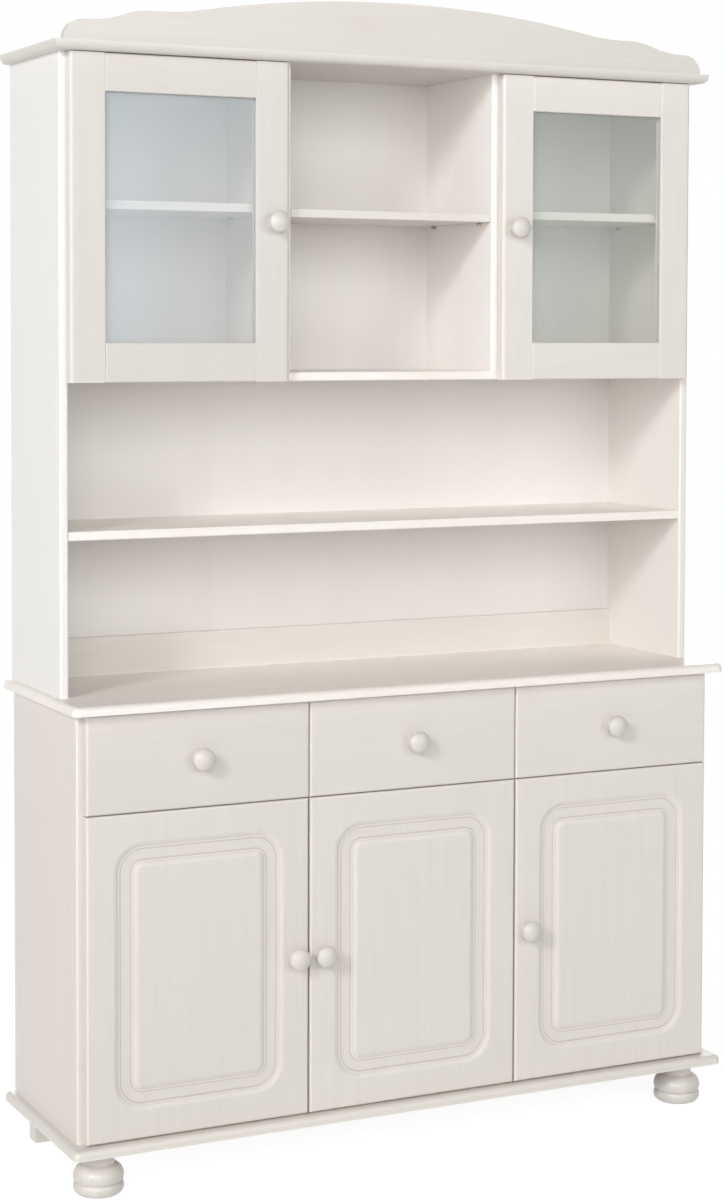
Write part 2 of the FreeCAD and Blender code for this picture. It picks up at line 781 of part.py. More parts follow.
def rout_moulding(body, width, height):
    """Sinks a band round a door's field: rounded ramp, ledge and step on both sides of a flat bottom."""
    margin, radius = s.mould_margin, s.mould_corner_radius
    far_x, far_z = width - margin, height - margin
    bow = radius * QUARTER_BOW_SHARE
    path = sketch_on(body, "XZ_Plane")
    draw_outline(path, (width / 2, margin), [
        (far_x - radius, margin),
        (far_x - bow, margin + bow, far_x, margin + radius),
        (far_x, far_z - radius),
        (far_x - bow, far_z - bow, far_x - radius, far_z),
        (margin + radius, far_z),
        (margin + bow, far_z - bow, margin, far_z - radius),
        (margin, margin + radius),
        (margin + bow, margin + bow, margin + radius, margin),
        (width / 2, margin),
    ])
    section = sketch_on(body, "YZ_Plane")
    bind(section, "AttachmentOffset.Base.z", width / 2)
    ledge, deep, ramp = s.mould_ledge_depth, s.mould_depth, s.mould_ramp
    end = margin + s.mould_width
    outer, inner = margin + ramp, end - ramp
    along_share, down_share = RAMP_SHARES
    draw_outline(section, (-s.overrun, margin), [
        (0, margin),
        (ledge * down_share, margin + ramp * along_share, ledge, outer),
        (ledge, outer + s.mould_ledge),
        (deep, outer + s.mould_ledge + s.mould_wall),
        (deep, inner - s.mould_ledge - s.mould_wall),
        (ledge, inner - s.mould_ledge),
        (ledge, inner),
        (ledge * down_share, end - ramp * along_share, 0, end),
        (-s.overrun, end),
        (-s.overrun, margin),
    ])
    doc.recompute()
    before = body.Shape.Volume
    sweep = body.newObject("PartDesign::SubtractivePipe", f"{body.Name}_moulding")
    sweep.Profile = section
    sweep.Spine = path
    doc.recompute()
    if not 0 < body.Shape.Volume < before:
        raise RuntimeError("the moulding cut nothing")


def make_buffet_doors():
    """Three moulded doors; the left one hangs on the left, the other two on the right."""
    arms = []
    levels = [s.hinge_end_distance, door_height - s.hinge_end_distance]
    for name, centre, hand in (("left", -front_pitch, 1), ("middle", 0, -1), ("right", front_pitch, -1)):
        label = f"door_{name}"
        low = centre - front_width / 2
        panel = board(
            f"{label}_panel", low, front_plane, door_bottom, front_width, s.front_thickness, door_height,
            [(s.front_edge_round, "front top", "front bottom", "front left", "front right")])
        rout_moulding(panel, front_width, door_height)
        bore_cups(panel, hand, 0 if hand > 0 else front_width, s.front_thickness, levels)
        keep(panel)
        edge = centre - hand * front_width / 2
        knob_x = centre + hand * (front_width / 2 - s.door_knob_inset)
        make_knob(f"{label}_knob", knob_x, front_plane, door_bottom + door_height / 2)
        if name == "middle":
            overlay = front_width / 2 - front_pitch / 2 + s.partition_thickness / 2
        else:
            overlay = fronts_width / 2 - side_inner
        arms += make_hinges(
            label, hand, edge, front_plane, door_bottom, door_height, s.front_thickness, overlay)
    return arms


def make_glazed_doors():
    """Two glazed doors of grooved stiles and rails round a pane."""
    arms = []
    levels = [s.hinge_end_distance, glazed_height - s.hinge_end_distance]
    groove_width = s.glass_thickness + s.glass_play * 2
    groove_front = s.glazed_door_thickness / 2 - groove_width / 2
    groove = s.glass_groove_depth
    lap = groove - s.glass_play
    rail_length = glazed_width - s.stile_width * 2
    opening = glazed_height - s.top_rail_width - s.bottom_rail_width
    for name, hand in (("left", 1), ("right", -1)):
        label = f"glazed_door_{name}"
        low = -glazed_outer_edge if hand > 0 else glazed_inner_edge
        stiles = []
        for side, x in (("left", low), ("right", low + glazed_width - s.stile_width)):
            stile = board(
                f"{label}_stile_{side}", x, glazed_plane, floor_bottom, s.stile_width,
                s.glazed_door_thickness, glazed_height, [(s.glazed_edge_round, f"front {side}")])
            ease_edges(stile, s.glazed_joint_ease, "front right" if side == "left" else "front left")
            start = s.stile_width - groove if side == "left" else -s.overrun
            box_feature(
                stile, "Subtractive", start, groove_front, s.bottom_rail_width - groove, groove + s.overrun,
                groove_width, opening + groove * 2)
            if (side == "left") == (hand > 0):
                bore_cups(stile, hand, 0 if hand > 0 else s.stile_width, s.glazed_door_thickness, levels)
            stiles.append(stile)
        group(f"{label}_stiles", stiles)
        rails = []
        rail_low = low + s.stile_width
        top_low = floor_bottom + glazed_height - s.top_rail_width
        for side, z, height in (
                ("bottom", floor_bottom, s.bottom_rail_width), ("top", top_low, s.top_rail_width)):
            rail = board(
                f"{label}_rail_{side}", rail_low, glazed_plane, z, rail_length, s.glazed_door_thickness,
                height, [(s.glazed_edge_round / 2, f"front {side}")])
            ease_edges(rail, s.glazed_joint_ease, "front top" if side == "bottom" else "front bottom")
            ease_edges(rail, s.glazed_joint_ease, "front left", "front right")
            start = height - groove if side == "bottom" else -s.overrun
            box_feature(
                rail, "Subtractive", -s.overrun, groove_front, start, rail_length + s.overrun * 2,
                groove_width, groove + s.overrun)
            rails.append(rail)
        group(f"{label}_rails", rails)
        keep(board(
            f"{label}_glass", rail_low - lap, glazed_plane + groove_front + s.glass_play,
            floor_bottom + s.bottom_rail_width - lap, rail_length + lap * 2, s.glass_thickness,
            opening + lap * 2))
        knob_x = -hand * (glazed_inner_edge + s.glazed_knob_inset)
        make_knob(f"{label}_knob", knob_x, glazed_plane, floor_bottom + glazed_height / 2)
        overlay = glazed_outer_edge - hutch_inner
        arms += make_hinges(
            label, hand, -hand * glazed_outer_edge, glazed_plane, floor_bottom, glazed_height,
            s.glazed_door_thickness, overlay)
    return arms


def make_hutch():
    """Sides, partitions, floor, shelves, back, rail, cornice and crest board. Gives back the shelf pins."""
    edge = (s.hutch_edge_round, "left front", "right front")
    middle_bottom = floor_top + s.middle_shelf_height
    glazed_bottom = floor_bottom + glazed_height / 2 + s.glazed_shelf_rise

    def points(shelf_bottom, origin_y, origin_z):
        return pin_points(hutch_shelf_front, hutch_shelf_depth, shelf_bottom, origin_y, origin_z)

    left = board("hutch_side_left", -hutch_width / 2, hutch_front, worktop_top, s.hutch_side_thickness,
                 s.hutch_depth, s.hutch_height, [edge])
    drill_pins(left, s.hutch_side_thickness, points(glazed_bottom, hutch_front, worktop_top), -1)
    right = board("hutch_side_right", hutch_inner, hutch_front, worktop_top, s.hutch_side_thickness,
                  s.hutch_depth, s.hutch_height, [edge])
    drill_pins(right, 0, points(glazed_bottom, hutch_front, worktop_top), 1)
    keep(left)
    keep(right)
    partitions = []
    for name, x, glazed_face, bay_face, into in (
            ("left", -bay_outer, 0, s.hutch_partition_thickness, 1),
            ("right", bay_half, s.hutch_partition_thickness, 0, -1)):
        wall = board(f"hutch_partition_{name}", x, hutch_front, floor_top, s.hutch_partition_thickness,
                     s.hutch_depth, cornice_bottom - floor_top, [edge])
        drill_pins(wall, glazed_face, points(glazed_bottom, hutch_front, floor_top), into)
        drill_pins(wall, bay_face, points(middle_bottom, hutch_front, floor_top), -into)
        partitions.append(wall)
    group("hutch_partitions", partitions)
    keep(board("cupboard_floor", -hutch_inner, hutch_front, floor_bottom, hutch_inner * 2, s.hutch_depth,
               s.cupboard_floor_thickness, [(s.floor_edge_round, "front top", "front bottom")]))
    shelf_front = hutch_front + s.long_shelf_setback
    keep(board("long_shelf", -hutch_inner, shelf_front, worktop_top + s.long_shelf_height, hutch_inner * 2,
               panel_front - shelf_front, s.shelf_thickness,
               [(s.shelf_edge_round, "front top", "front bottom")]))
    keep(board("back_rail", -hutch_inner, panel_front - s.back_rail_thickness, worktop_top, hutch_inner * 2,
               s.back_rail_thickness, s.back_rail_height, [(s.back_rail_edge_round, "front top")]))
    keep(board("hutch_back", -hutch_width / 2, panel_front, worktop_top, hutch_width, s.back_thickness,
               s.hutch_height))
    bays = [("left", -hutch_inner, -bay_outer, glazed_bottom), ("middle", -bay_half, bay_half, middle_bottom),
            ("right", bay_outer, hutch_inner, glazed_bottom)]
    shelves = []
    pins = []
    for name, low, high, bottom in bays:
        shelves.append(board(
            f"hutch_shelf_{name}", low + s.shelf_end_play, hutch_shelf_front, bottom,
            high - low - s.shelf_end_play * 2, hutch_shelf_depth, s.shelf_thickness,
            [(s.shelf_edge_round, "front top", "front bottom")]))
        pins += shelf_pins(f"hutch_{name}_pin_left", low, points(bottom, 0, 0), 1)
        pins += shelf_pins(f"hutch_{name}_pin_right", high, points(bottom, 0, 0), -1)
    group("hutch_shelves", shelves)
    cornice_front = glazed_plane - s.cornice_front_overhang
    keep(board("cornice", -cornice_width / 2, cornice_front, cornice_bottom, cornice_width,
               back_plane - cornice_front, s.cornice_thickness,
               [(s.cornice_edge_round, "front bottom", "left bottom", "right bottom")]))
    make_pediment(cornice_front + s.pediment_setback)
    return pins


def make_pediment(front):
    """Crest board: ovolo ends, a flat, an ogee up to the shoulders, a dip, and one long arch between them."""
    body = new_body("pediment", 0, front, cornice_top)
    half, height = cornice_width / 2 - s.pediment_end_inset, s.pediment_height
    rising = [
        tuple(share * size for share, size in zip(step, (half, height) * 2)) for step in PEDIMENT_END_SHARES]
    ends = [(half, 0)] + [step[-2:] for step in rising]
    falling = []
    for step, goal in zip(reversed(rising), reversed(ends[:-1])):
        through = step[:2] if len(step) == 4 else ()
        steps = (*through, *goal)
        falling.append(tuple(-length if place % 2 == 0 else length for place, length in enumerate(steps)))
    arch_x, arch_z = ends[-1]
    sketch = sketch_on(body, "XZ_Plane")
    draw_outline(sketch, (half, 0), rising + [(0, height, -arch_x, arch_z)] + falling + [(half, 0)])
    pad(body, sketch, s.pediment_thickness, backwards=True)
    round_edges(body, s.pediment_edge_round, "front bottom")
    keep(body)


def write_parts():
    """Checks every object and writes each piece to its own file."""
    doc.recompute()
    for thing in doc.Objects:
        if {"Invalid", "Error"} & set(thing.State):
            raise RuntimeError(f"{thing.Label} failed: {thing.State}")
    for thing in parts:
        shape = thing.Shape
        if shape.isNull() or not shape.isValid() or not shape.Solids:
            raise RuntimeError(f"{thing.Label} has no sound shape")
    os.makedirs("parts", exist_ok=True)
    for thing in parts:
        thing.Shape.exportStep(f"parts/{thing.Label}.step")
    print(len(parts), "pieces written")


make_base()
pins = make_buffet_case()
make_drawers()
hinge_arms = make_buffet_doors()
pins += make_hutch()
hinge_arms += make_glazed_doors()
group("shelf_pins", pins)
group("hinge_arms", hinge_arms)
write_parts()
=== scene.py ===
"""Looks of the painted pine buffet and hutch: stained grain, panes, steel, screws and nails."""

import math

import bpy
from mathutils import Matrix, Vector


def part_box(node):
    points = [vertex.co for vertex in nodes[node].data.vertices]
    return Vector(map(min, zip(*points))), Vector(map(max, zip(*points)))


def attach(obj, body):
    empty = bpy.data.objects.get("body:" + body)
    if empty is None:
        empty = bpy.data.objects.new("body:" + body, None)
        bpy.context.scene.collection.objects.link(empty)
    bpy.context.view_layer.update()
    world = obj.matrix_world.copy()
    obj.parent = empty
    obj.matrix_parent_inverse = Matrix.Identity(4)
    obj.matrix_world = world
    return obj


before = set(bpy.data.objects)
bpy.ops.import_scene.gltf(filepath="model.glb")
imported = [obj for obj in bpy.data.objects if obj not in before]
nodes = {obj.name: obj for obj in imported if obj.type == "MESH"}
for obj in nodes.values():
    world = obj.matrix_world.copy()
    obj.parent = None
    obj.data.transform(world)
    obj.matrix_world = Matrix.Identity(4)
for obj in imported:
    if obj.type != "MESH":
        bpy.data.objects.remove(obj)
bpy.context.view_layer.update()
scene = bpy.context.scene

DRAWERS = ("drawer_left", "drawer_middle", "drawer_right")
PANEL_DOORS = ("door_left", "door_middle", "door_right")
GLAZED_DOORS = ("glazed_door_left", "glazed_door_right")
DOORS = PANEL_DOORS + GLAZED_DOORS
# The doors that hang on their left edge
LEFT_HUNG = ("door_left", "glazed_door_left")
BACKS = ("buffet_back", "hutch_back")
LYING = (
    "base_board", "worktop", "drawer_deck", "buffet_shelves", "cupboard_floor", "hutch_shelves",
    "long_shelf", "back_rail", "cornice", "pediment",
)
STANDING = (
    "buffet_side_left", "buffet_side_right", "buffet_partition", "drawer_dividers",
    "hutch_side_left", "hutch_side_right", "hutch_partitions", "front_feet", "rear_feet",
)


class Wire:
    """A value that runs between nodes. Sums of wires add Math nodes."""

    def __init__(self, tree, socket):
        self.tree = tree
        self.socket = socket

    def math(self, operation, *others):
        values = dict(enumerate((self, *others)))
        return self.tree.node("ShaderNodeMath", {"operation": operation}, values)

    def output(self, name):
        """Another output of the node that this value comes from."""
        return Wire(self.tree, self.socket.node.outputs[name])

    def ease(self, low, high):
        """Rises smoothly from 0 at low to 1 at high."""
        return self.tree.node(
            "ShaderNodeMapRange", {"interpolation_type": "SMOOTHSTEP"}, {0: self, 1: low, 2: high})

    def band(self, start, full, last, end):
        """Rises from 0 at start to 1 at full, and falls to 0 again between last and end."""
        return self.ease(start, full) * (1 - self.ease(last, end))

    def __add__(self, other):
        return self.math("ADD", other)

    def __radd__(self, other):
        return self.math("ADD", other)

    def __sub__(self, other):
        return self.math("SUBTRACT", other)

    def __rsub__(self, other):
        return self.tree.node("ShaderNodeMath", {"operation": "SUBTRACT"}, {0: other, 1: self})

    def __mul__(self, other):
        return self.math("MULTIPLY", other)

    def __rmul__(self, other):
        return self.math("MULTIPLY", other)

    def __truediv__(self, other):
        return self.math("DIVIDE", other)

    def __pow__(self, other):
        return self.math("POWER", other)

    def __abs__(self):
        return self.math("ABSOLUTE")


class Tree:
    """A node tree that is filled by calls and sums."""

    def __init__(self, tree):
        self.tree = tree
        tree.nodes.clear()

    def node(self, kind, settings=None, inputs=None, output=0):
        """Adds a node: its settings first, then its sockets' values or links, by name or number."""
        made = self.tree.nodes.new(kind)
        for name, value in (settings or {}).items():
            setattr(made, name, value)
        for key, value in (inputs or {}).items():
            for item in value if isinstance(value, list) else [value]:
                if isinstance(item, Wire):
                    self.tree.links.new(item.socket, made.inputs[key])
                else:
                    made.inputs[key].default_value = item
        return Wire(self, made.outputs[output]) if made.outputs else made


class Finish(Tree):
    """A material: one principled surface whose fixed values are set on its own sockets."""

    def __init__(self, name, **fixed):
        self.material = bpy.data.materials.new(name)
        self.material.use_nodes = True
        super().__init__(self.material.node_tree)
        values = {socket.replace("_", " "): value for socket, value in fixed.items()}
        self.surface = self.node("ShaderNodeBsdfPrincipled", None, values)
        self.node("ShaderNodeOutputMaterial", None, {"Surface": self.surface})

    def feed(self, socket, wire):
        self.tree.links.new(wire.socket, self.surface.socket.node.inputs[socket])

    def mix(self, share, under, over):
        return self.node("ShaderNodeMix", {"data_type": "RGBA"}, {0: share, 6: under, 7: over}, 2)

    def place(self):
        return self.node("ShaderNodeTexCoord", None, None, "Object")

    def mapped(self, vector, scale=(1, 1, 1), turn=(0, 0, 0), shift=(0, 0, 0)):
        return self.node("ShaderNodeMapping", None, {
            "Vector": vector, "Location": shift, "Rotation": turn, "Scale": scale})

    def noise(self, vector, scale, detail=2.0, rough=0.5):
        return self.node("ShaderNodeTexNoise", None, {
            "Vector": self.mapped(vector, scale), "Scale": 1.0, "Detail": detail,
            "Roughness": rough})

    def axes(self, vector):
        x = self.node("ShaderNodeSeparateXYZ", None, {0: vector})
        return x, x.output("Y"), x.output("Z")

    def bump(self, height, strength, depth):
        self.feed("Normal", self.node(
            "ShaderNodeBump", None, {"Strength": strength, "Distance": depth, "Height": height}))


def shade(red, green, blue):
    """A colour given as it looks on a screen, 0 to 255, as linear light."""
    def linear(level):
        level /= 255
        return level / 12.92 if level <= 0.04045 else ((level + 0.055) / 1.055) ** 2.4
    return (linear(red), linear(green), linear(blue), 1.0)


def grey(level):
    """A grey given as linear light."""
    return (level, level, level, 1.0)


# The stain on most boards, a whiter copy on flat tops that paints light onto them, and bare wood
# inside
STAIN = {
    "light": shade(227, 223, 217),
    "late": shade(217, 211, 203),
    "knot": shade(196, 182, 167),
    # Paler stain: on worn edges, and as a painted highlight on a moulding's ledge
    "paler_stain": shade(233, 229, 223),
    # Painted shade, laid into the corners of a door's moulding
    "crease_shade": shade(196, 187, 178),
}
# Painted light: whiter than the boards' stain, standing in for more light on the tops; its streaks
# are the wood's own
TOP_STAIN_PAINTED_LIGHT = {
    "light": shade(249, 246, 241),
    "late": shade(234, 224, 213),
    "knot": shade(208, 190, 168),
    "paler_stain": shade(242, 238, 232),
}
PLAIN_PINE = {
    "light": shade(226, 202, 164),
    "late": shade(196, 160, 114),
    "knot": shade(140, 98, 62),
}
FLAT_TOPS = ("worktop", "long_shelf", "cupboard_floor")
# Painted light and shade: how much whiter, or greyer, the stain lies on a piece than on the rest,
# standing in for more light on it or less
PAINTED_LIGHT_TONE = {
    "hutch_partitions": 0.95, "hutch_side_left": 0.58, "hutch_side_right": 0.45,
    "buffet_side_left": 0.1, "front_feet": -0.55, "pediment": -0.4, "cornice": -0.3,
    "drawer_left_front": -0.4, "drawer_middle_front": -0.2, "drawer_right_front": -0.05,
    "door_left_panel": -0.25, "door_middle_panel": -0.1,
    "glazed_door_left_stiles": -0.55, "glazed_door_left_rails": -0.65,
}
# Painted shade: the knobs' stain is laid on greyer
KNOB_PAINTED_SHADE = -0.5
# The whitest that a stain gets, and how far a tone of -1 darkens it
FULL_WHITE = 0.93
GREY_STEP = 0.18
NO_TINT = (1.0, 1.0, 1.0)
# Boards whose stain is a little warmer
TINT = {
    "hutch_partitions": (1.0, 0.963, 0.935), "hutch_side_right": (1.0, 0.982, 0.98),
    "buffet_side_left": (1.0, 0.965, 0.96),
}
# Roughness of brushed boards, and of turned pieces that were polished on the lathe
BOARD_GLOSS = 0.42
KNOB_GLOSS = 0.3
FOOT_GLOSS = 0.28


def toned(stain, share, tint=NO_TINT):
    """The same stain laid on whiter, or greyer where the share is below zero, with a tint."""
    white = max(share, 0.0)
    dim = 1 + min(share, 0.0) * GREY_STEP
    return {
        part: tuple((level + (FULL_WHITE - level) * white) * dim * hue
                    for level, hue in zip(colour, tint)) + (1.0,)
        for part, colour in stain.items()}


# A turn that lays a board's length along the grain's own X
GRAIN_TURN = {
    "x": (0, 0, 0),
    "y": (0, 0, -math.pi / 2),
    "z": (0, math.pi / 2, 0),
}
# Marks to a metre, along the grain and both ways across it
KNOT_CELLS = (1.9, 7.5, 7.5)
RING_DRIFT = (1.3, 6.0, 6.0)
FIBRES = (11.0, 760.0, 760.0)
STREAKS = (2.6, 120.0, 120.0)
CLOUDS = (3.0, 4.0, 4.0)
# Growth rings: radians to a metre, lean through the board, and metres that drift and knots push
RING_PITCH = 330.0
RING_LEAN = 0.61
RING_WANDER = 0.16
KNOT_PUSH = 0.035
# Which cells have a knot, and where its heart and the swirl round it fade, in shares of a cell
KNOT_CHANCE = (0.80, 0.82)
KNOT_HEART = (0.03, 0.085)
KNOT_SWIRL = (0.04, 0.36)
# Metres from a board's edge over which its stain is worn
WORN_EDGE = (0.0004, 0.0036)
GRAIN_DEPTH = 0.0006

# The rout round a door's panel, in metres
ROUT_MARGIN = 0.045
ROUT_CORNER = 0.050
ROUT_HALF_WIDTH = 0.021
ROUT_FRONT = (0.006, 0.008)
# Bands of its moulding, in mm from the nearer edge of the rout: start, full, last, end.
# Painted shade lies in the two corners, and a painted highlight on the ledge between them
OUTER_CORNER = (6.4, 8.0, 8.2, 8.6)
LEDGE = (8.5, 9.3, 10.6, 11.0)
INNER_CORNER = (11.0, 11.5, 12.4, 14.2)


def from_edge(wood, place, box):
    """How far a point lies from its board's nearest edge: the middle one of its three gaps."""
    gaps = []
    for level, start, end in zip(wood.axes(place), *box):
        gaps.append((end - start) / 2 - abs(level - (start + end) / 2))
    first, second, third = gaps
    least = first.math("MINIMUM", second)
    return least.math("MAXIMUM", first.math("MAXIMUM", second).math("MINIMUM", third))


def moulding_rim(wood, place, box):
    """How far a point of a door's front lies inside its rout, in mm from the rout's nearer edge."""
    low, high = box
    inset = ROUT_MARGIN + ROUT_CORNER
    across, through, up = wood.axes(place)
    side = abs(across - (low.x + high.x) / 2) - ((high.x - low.x) / 2 - inset)
    head = abs(up - (low.z + high.z) / 2) - ((high.z - low.z) / 2 - inset)
    past_side, past_head = side.math("MAXIMUM", 0.0), head.math("MAXIMUM", 0.0)
    round_off = (past_side ** 2.0 + past_head ** 2.0).math("SQRT")
    inward = ROUT_CORNER - round_off - side.math("MAXIMUM", head).math("MINIMUM", 0.0)
    front = 1 - (through - low.y).ease(*ROUT_FRONT)
    return (ROUT_HALF_WIDTH - abs(inward - ROUT_HALF_WIDTH)) * 1000.0 * front


def pine(name, along, seed, stain, strength=0.55, box=None, routed=False, gloss=BOARD_GLOSS):
    """Pine under a thin stain: growth rings, fibres, a few knots and eased edges.

    along is the grain's axis, box the board's corners for its edges. A routed door has
    painted shade in the corners of its moulding, and a painted highlight on the ledge between them.
    """
    wood = Finish(name, Specular_IOR_Level=0.45, Coat_Weight=0.08, Coat_Roughness=0.3)
    place = wood.place()
    # Each board comes from another place in the log
    cut = (0.37 * seed, 0.71 * seed % 3.1, 0.53 * seed % 2.3)
    board = wood.mapped(place, turn=GRAIN_TURN[along], shift=cut)

    cell = wood.node(
        "ShaderNodeTexVoronoi", {"voronoi_dimensions": "3D"},
        {"Vector": wood.mapped(board, KNOT_CELLS), "Scale": 1.0}, "Distance")
    chosen = wood.axes(cell.output("Color"))[0].ease(*KNOT_CHANCE)
    knot = (1 - cell.ease(*KNOT_HEART)) * chosen
    swirl = (1 - cell.ease(*KNOT_SWIRL)) * chosen

    drift = wood.noise(board, RING_DRIFT)
    across, through = wood.axes(board)[1:]
    path = across + through * RING_LEAN + drift * RING_WANDER + swirl * KNOT_PUSH
    ring = ((path * RING_PITCH).math("SINE") * 0.5 + 0.5) ** 4.0
    fibre = wood.noise(board, FIBRES, detail=3.0, rough=0.6)
    streak = wood.noise(board, STREAKS, detail=3.0, rough=0.55)
    cloud = wood.noise(board, CLOUDS)

    grain = ring * (0.25 + drift * 0.5) * 0.45
    grain = grain + (streak - 0.5) * 0.9 + (fibre - 0.5) * 0.7 + (cloud - 0.5) * 0.5
    tone = (grain * strength + 0.35).math("MAXIMUM", 0.0).math("MINIMUM", 1.0)
    colour = wood.mix(tone, stain["light"], stain["late"])
    colour = wood.mix((knot * 0.75 + swirl * 0.12) * min(strength, 1.0), colour, stain["knot"])

    rough = fibre * 0.14 + tone * 0.06 + (gloss - 0.10)
    height = fibre * 0.6 + ring * 0.5 + streak * 0.5 - knot * 0.6
    if box is not None:
        # Worn edges: the stain is paler near every edge
        paler_stain = (1 - from_edge(wood, place, box).ease(*WORN_EDGE)) * (0.35 + streak * 0.6)
        colour = wood.mix(paler_stain, colour, stain["paler_stain"])
        rough = rough - paler_stain * 0.06
    if routed:
        # Painted shade in the moulding's two corners, and a painted highlight on the ledge between
        # them
        rim = moulding_rim(wood, place, box)
        crease_shade = rim.band(*OUTER_CORNER) * 0.6
        crease_shade = crease_shade + rim.band(*INNER_CORNER) * (0.7 + cloud * 0.3)
        ledge_highlight = rim.band(*LEDGE)
        colour = wood.mix(crease_shade * 0.8, colour, stain["crease_shade"])
        colour = wood.mix(ledge_highlight * 0.7, colour, stain["paler_stain"])
    wood.feed("Base Color", colour)
    wood.feed("Roughness", rough)
    wood.bump(height, 0.16, GRAIN_DEPTH)
    return wood.material


# Marks to a metre on painted hardboard, glass and plated steel
SPECKLE = (420.0, 420.0, 420.0)
ROLLER_TRACK = (26.0, 26.0, 1.2)
PAINT_CLOUDS = (5.0, 5.0, 5.0)
PAINTED_SHEEN_CLOUDS = (5.0, 5.0, 3.0)
DUST = (90.0, 90.0, 90.0)
PLATING_CLOUDS = (90.0, 90.0, 90.0)
BRUSHED = {"x": (60.0, 2600.0, 2600.0), "z": (2600.0, 2600.0, 60.0)}
# The paint on hardboard, and plating that has gone dull
HARDBOARD_LIGHT, HARDBOARD_DARK = shade(239, 236, 234), shade(227, 222, 219)
DULL_NICKEL = shade(176, 172, 164)
# A pane's painted reflection: its colour at the upper left and lower right, and how strongly it
# veils what is behind
PANES = {
    "left": (shade(232, 246, 255), shade(238, 245, 248), 0.20),
    "right": (shade(226, 238, 232), shade(228, 240, 226), 0.12),
}


def thin_board(name, seed):
    """Painted hardboard: a fine speckle under the paint, with a faint upright roller track."""
    board = Finish(name, Specular_IOR_Level=0.35)
    place = board.mapped(board.place(), shift=(0.3 * seed, 0.0, 0.7 * seed))
    speckle = board.noise(place, SPECKLE, detail=3.0, rough=0.6)
    track = board.noise(place, ROLLER_TRACK)
    cloud = board.noise(place, PAINT_CLOUDS)
    tone = (speckle - 0.5) * 0.5 + (track - 0.5) * 0.35 + (cloud - 0.5) * 0.5 + 0.4
    board.feed("Base Color", board.mix(tone, HARDBOARD_LIGHT, HARDBOARD_DARK))
    board.feed("Roughness", speckle * 0.15 + 0.45)
    board.bump(speckle, 0.10, 0.0004)
    return board.material


def clear_pane(name, box, near, far, reflection_veil):
    """Float glass with a painted reflection, fading from the upper left to the lower right, and a
    little dust.
    """
    pane = Finish(name, Specular_IOR_Level=0.9, IOR=1.5)
    place = pane.place()
    low, high = box
    across, _, up = pane.axes(place)
    fade = (across - low.x) / (high.x - low.x) * 0.6 + (high.z - up) / (high.z - low.z) * 0.4
    cloud = pane.noise(place, PAINTED_SHEEN_CLOUDS)
    dust = pane.noise(place, DUST, detail=3.0)
    painted_sheen = (fade + (cloud - 0.5) * 0.5).ease(0.0, 1.0)
    # Painted reflection: the sheen's colour, and a veil of alpha over what is behind, with a little
    # dust
    pane.feed("Base Color", pane.mix(painted_sheen, near, far))
    pane.feed("Alpha", (1 - painted_sheen) * (reflection_veil * 0.5) + dust * 0.02 + reflection_veil * 0.7)
    pane.feed("Roughness", dust * 0.05 + 0.02)
    return pane.material


def hinge_steel(name, colour, along):
    """Nickel-plated steel: a fine brushed line, and plating that has gone dull in clouds."""
    steel = Finish(name, Metallic=1.0)
    place = steel.place()
    line = steel.noise(place, BRUSHED[along])
    cloud = steel.noise(place, PLATING_CLOUDS, detail=3.0)
    steel.feed("Base Color", steel.mix(cloud, colour, DULL_NICKEL))
    steel.feed("Roughness", line * 0.18 + cloud * 0.14 + 0.16)
    steel.bump(line, 0.05, 0.0002)
    return steel.material


def dress(name, material):
    """Gives a CAD node its finish."""
    slots = nodes[name].data.materials
    if not slots:
        slots.append(material)
    for index in range(len(slots)):
        slots[index] = material


def stained(name, along, seed, **more):
    """Gives a board its own stained finish."""
    # Painted light and shade: flat tops take the whiter stain, other pieces their own tone
    if name in FLAT_TOPS:
        stain = TOP_STAIN_PAINTED_LIGHT
    else:
        stain = toned(STAIN, PAINTED_LIGHT_TONE.get(name, 0.0), TINT.get(name, NO_TINT))
    dress(name, pine(f"stained_{name}", along, seed, stain, box=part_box(name), **more))


def planed(name, finish, seed):
    """Gives a piece inside the drawers' bays its bare pine."""
    dress(name, pine(finish, "y", seed, PLAIN_PINE, strength=1.0))


def turned_knob(owner, seed):
    """Gives the knob of a drawer or door its finish."""
    knob = f"{owner}_knob"
    # Painted shade: the knob's stain is laid on greyer
    dress(knob, pine(f"turned_{knob}", "y", seed, toned(STAIN, KNOB_PAINTED_SHADE), gloss=KNOB_GLOSS))


def finish_boards():
    """The case's boards and feet, its thin backs and the drawers' runners."""
    for seed, name in enumerate(LYING, start=1):
        stained(name, "x", seed)
    for seed, name in enumerate(STANDING, start=21):
        stained(name, "z", seed, gloss=FOOT_GLOSS if name == "front_feet" else BOARD_GLOSS)
    for seed, name in enumerate(BACKS, start=41):
        dress(name, thin_board(f"faced_{name}", seed))
    planed("drawer_runners", "planed_runners", 44)


def finish_drawers():
    """Each drawer's front, box, bottom and knob."""
    for seed, drawer in enumerate(DRAWERS, start=51):
        stained(f"{drawer}_front", "x", seed)
        planed(f"{drawer}_box", f"planed_{drawer}_box", seed + 4)
        dress(f"{drawer}_bottom", thin_board(f"faced_{drawer}_bottom", seed + 8))
        turned_knob(drawer, seed + 12)


